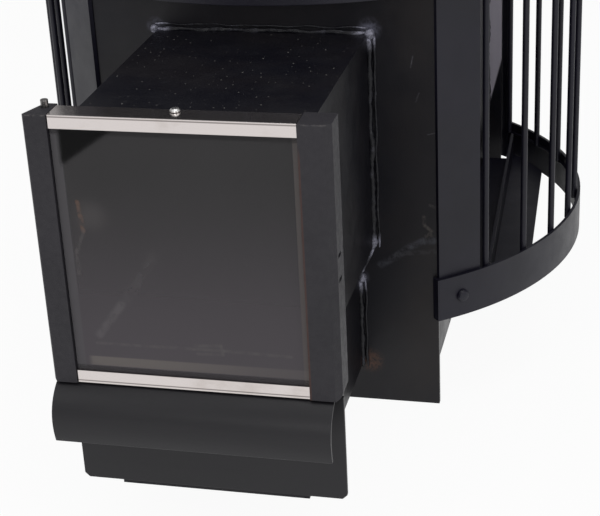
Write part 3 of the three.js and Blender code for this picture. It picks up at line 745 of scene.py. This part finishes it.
def add_welds():
    metal = weld_metal()
    beads = duct_beads(TUNNEL_LOW, TUNNEL_HIGH, TUNNEL_BEADS, 1)
    make_piece("tunnel_weld", *gather(beads), metal, "stove", "firebox_steel")
    beads = duct_beads(DUCT_LOW, DUCT_HIGH, DUCT_BEADS, 11)
    # A thin run joins the corners of the tunnel and the duct on each side.
    for k, (outer, inner) in enumerate(((TUNNEL_HIGH.x, DUCT_HIGH.x), (TUNNEL_LOW.x, DUCT_LOW.x))):
        y = PLATE_FRONT - THIN_OFFSET
        beads.append(weld_bead((outer, y, TUNNEL_LOW.z), (inner, y, DUCT_HIGH.z), CORNER_BEAD, 19 + k))
    make_piece("duct_weld", *gather(beads), metal, "stove", "firebox_steel")
    middle = (FLUE_LOW + FLUE_HIGH) / 2
    ring = FLUE_HIGH.x - middle.x + BOX_OFFSET
    beads = [weld_arc(middle, ring, COVER_HIGH.z + BOX_OFFSET, 0, 360, FLUE_BEAD, 21)]
    front, rear = SIDE_LOW.y + SIDE_END_GAP, SIDE_HIGH.y - SIDE_END_GAP
    under, behind, shelf = COVER_LOW.z - COVER_OFFSET, rear + REAR_OFFSET, SHELF_TOP + SHELF_OFFSET
    for k, side in enumerate((-1, 1)):
        x = side * (SIDE_HIGH.x + BOX_OFFSET)
        beads.append(weld_bead((x, front, under), (x, rear, under), COVER_BEAD, 22 + k))
        beads.append(weld_bead((x, behind, SIDE_LOW.z), (x, behind, SIDE_HIGH.z), REAR_BEAD, 24 + k))
        for i in range(STITCHES):
            y = CAGE_Y - STITCH_START + i * STITCH_PITCH
            ends = (x, y, shelf), (x, y + STITCH_LENGTH, shelf)
            beads.append(weld_bead(*ends, SHELF_BEAD, 26 + STITCHES * k + i))
    make_piece("firebox_weld", *gather(beads), metal, "stove", "firebox_steel")


def add_bar_welds(finish):
    """A painted seam under the bars' feet, round the inside of the lower hoop, and one at the top."""
    axis = (0, CAGE_Y)
    seams = []
    for level in (BAR_LOW.z - SEAM_OFFSET, BAR_HIGH.z + SEAM_OFFSET):
        for k, (first, last) in enumerate(SEAM_ANGLES):
            seams.append(weld_arc(axis, HOOP_INNER - SEAM_OFFSET, level, first, last, SEAM_BEAD, 41 + k))
    make_piece("bar_seams", *gather(seams), finish, "stove", "cage_coat")


# Rope seal: sizes in metres, sides of its skin, steps round a corner, and its strands' turn at each step
ROPE_RADIUS = 0.00285
ROPE_INSET = 0.003
ROPE_CORNER = 0.006
ROPE_STEP = 0.0012
ROPE_SIDES = 12
CORNER_STEPS = 6
ROPE_STRANDS = 3
ROPE_TWIST = 0.55


def add_seal(finish):
    """The rope between the glass and the front frame, with its twisted strands."""
    middle = (SEAL_LOW + SEAL_HIGH) / 2
    side = (SEAL_HIGH.x - SEAL_LOW.x) / 2 - ROPE_INSET - ROPE_CORNER
    rise = (SEAL_HIGH.z - SEAL_LOW.z) / 2 - ROPE_INSET - ROPE_CORNER
    path = []
    for sign_x, sign_z, begin in ((1, 1, 0), (-1, 1, 90), (-1, -1, 180), (1, -1, 270)):
        for step in range(CORNER_STEPS + 1):
            turn = math.radians(begin + 90 * step / CORNER_STEPS)
            x = sign_x * side + ROPE_CORNER * math.cos(turn)
            z = sign_z * rise + ROPE_CORNER * math.sin(turn)
            path.append(middle + Vector((x, 0, z)))
    fine = []
    for i, point in enumerate(path):
        following = path[(i + 1) % len(path)]
        steps = max(1, round((following - point).length / ROPE_STEP))
        fine.extend(point.lerp(following, k / steps) for k in range(steps))

    def radius(i, turn):
        return ROPE_RADIUS * (0.93 + 0.07 * math.cos(ROPE_STRANDS * turn + i * ROPE_TWIST))

    piece = make_piece("seal_rope", *tube(fine, radius, ROPE_SIDES, True), finish, "door", "seal_rope")
    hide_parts("door_seal")


# Studio: the floor's half size in metres, its own glow, and the world's light on the object
FLOOR_HALF = 9
FLOOR_GLOW = 0.94
WORLD_LIGHT = 0.4


def add_floor():
    size = FLOOR_HALF
    mesh = bpy.data.meshes.new("floor")
    corners = [(-size, -size, 0), (size, -size, 0), (size, size, 0), (-size, size, 0)]
    mesh.from_pydata(corners, [], [(0, 1, 2, 3)])
    floor = bpy.data.objects.new("floor", mesh)
    scene.collection.objects.link(floor)
    g = Graph("floor")
    g.set("Base Color", g.mix(g.noise(3, 3), (0.8, 0.8, 0.8), (0.83, 0.83, 0.83)))
    g.set("Roughness", 0.9)
    path = g.new("ShaderNodeLightPath")
    seen = g.math("ADD", path.outputs["Is Camera Ray"], path.outputs["Is Glossy Ray"])
    seen = g.math("ADD", seen, path.outputs["Is Transmission Ray"], clamp=True)
    glow = g.new("ShaderNodeEmission")
    blend = g.new("ShaderNodeMixShader")
    g.feed(blend.inputs[0], g.math("MULTIPLY", seen, FLOOR_GLOW))
    g.tree.links.new(g.shader.outputs["BSDF"], blend.inputs[1])
    g.tree.links.new(glow.outputs[0], blend.inputs[2])
    out = next(n for n in g.tree.nodes if n.type == "OUTPUT_MATERIAL")
    g.tree.links.new(blend.outputs[0], out.inputs["Surface"])
    mesh.materials.append(g.material)


def add_world():
    world = bpy.data.worlds.new("studio")
    scene.world = world
    world.use_nodes = True
    tree = world.node_tree
    back = tree.nodes["Background"]
    path = tree.nodes.new("ShaderNodeLightPath")
    seen = tree.nodes.new("ShaderNodeMath")
    seen.use_clamp = True
    tree.links.new(path.outputs["Is Camera Ray"], seen.inputs[0])
    tree.links.new(path.outputs["Is Transmission Ray"], seen.inputs[1])
    level = tree.nodes.new("ShaderNodeMapRange")
    tree.links.new(seen.outputs[0], level.inputs["Value"])
    level.inputs["To Min"].default_value = WORLD_LIGHT
    level.inputs["To Max"].default_value = 1.0
    back.inputs["Color"].default_value = (1, 1, 1, 1)
    tree.links.new(level.outputs[0], back.inputs["Strength"])


def add_lamp(name, place, aim, size, power):
    data = bpy.data.lights.new(name, "AREA")
    data.shape = "RECTANGLE"
    data.size, data.size_y = size
    data.energy = power
    lamp = bpy.data.objects.new(name, data)
    lamp.location = place
    lamp.rotation_euler = (Vector(aim) - Vector(place)).to_track_quat("-Z", "Y").to_euler()
    scene.collection.objects.link(lamp)


def add_studio():
    add_floor()
    add_world()
    # Each lamp: its name, place, aim, size in metres and power in watts
    add_lamp("lamp_left", (-1.4, -1.5, 1.9), (0, -0.2, 0.3), (1.2, 1.2), 8)
    add_lamp("lamp_right", (1.9, -0.9, 1.3), (0, -0.1, 0.3), (1.0, 1.4), 8)
    add_lamp("lamp_top", (0.1, -0.3, 2.5), (0, -0.1, 0.3), (1.6, 1.6), 18)
    add_lamp("lamp_front", (0.3, -2.6, 1.1), (0, -0.3, 0.25), (1.4, 0.8), 12)
    scene.view_settings.view_transform = "Standard"


add_camera()
finishes = dress_nodes()
add_welds()
add_bar_welds(finishes["cage_coat"])
add_seal(finishes["seal_rope"])
add_studio()
